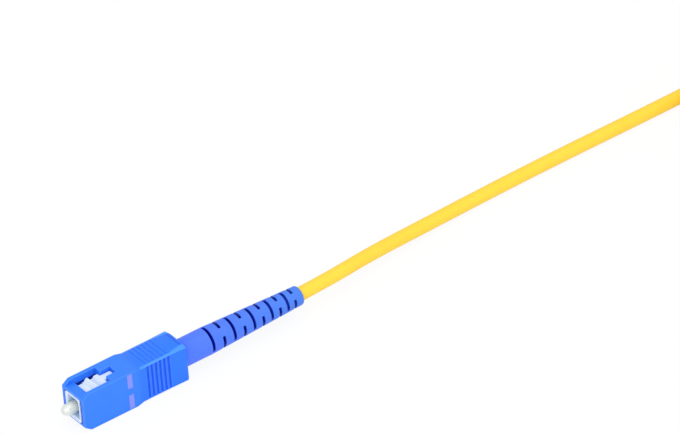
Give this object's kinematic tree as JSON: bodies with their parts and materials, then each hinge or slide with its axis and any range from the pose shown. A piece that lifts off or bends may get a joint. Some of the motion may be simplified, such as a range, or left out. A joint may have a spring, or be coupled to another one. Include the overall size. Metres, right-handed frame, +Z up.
{
  "type": "sc fibre connector",
  "caption": "Push-pull SC fibre connector: sprung ceramic ferrule in a latching plug frame, sliding grip, slotted bend-relief boot and simplex cable.",
  "frame": {"origin": "on the optical axis, in the plane of the plug frame's front face", "axes": "+X along the ferrule, out of the connector; +Z up, the connector lies on its narrow latch-window side; the polarity key is on -Y"},
  "size_m": [0.228, 0.0282, 0.0096],
  "materials": {
    "grip_plastic": "moulded PBT, blue, satin",
    "frame_plastic": "moulded PBT, white",
    "zirconia": "ground and polished zirconia ceramic",
    "glass_fibre": "bare silica fibre",
    "nickel_plate": "nickel-plated brass",
    "tube_plastic": "extruded PTFE",
    "spring_steel": "drawn stainless wire",
    "buffer_plastic": "tight buffer, white",
    "aramid": "aramid yarn",
    "crimp_metal": "drawn aluminium sleeve",
    "boot_rubber": "moulded thermoplastic rubber, violet blue",
    "cable_jacket": "extruded yellow jacket",
    "tie_fabric": "woven hook-and-loop strap, dark grey"
  },
  "bodies": {
    "core": {"plug_frame": "frame_plastic", "stop_ring": "nickel_plate", "ferrule_spring": "spring_steel", "fibre_buffer": "buffer_plastic", "aramid_yarn": "aramid", "crimp_sleeve": "crimp_metal", "boot": "boot_rubber", "cable_tail": "cable_jacket", "cable": "cable_jacket", "cable_hank": "cable_jacket", "hank_tie": "tie_fabric"},
    "grip": {"grip": "grip_plastic"},
    "ferrule": {"ferrule": "zirconia", "fibre": "glass_fibre", "ferrule_flange": "nickel_plate", "guide_tube": "tube_plastic"}
  },
  "joints": [
    {"name": "grip_slide", "type": "slide", "parent": "core", "child": "grip", "axis": [-1, 0, 0], "range_m": [0, 0.0014]},
    {"name": "ferrule_float", "type": "slide", "parent": "core", "child": "ferrule", "axis": [-1, 0, 0], "range_m": [0, 0.0012], "stiffness_N_per_m": 1000, "deforming": ["ferrule_spring", "fibre_buffer"]}
  ]
}
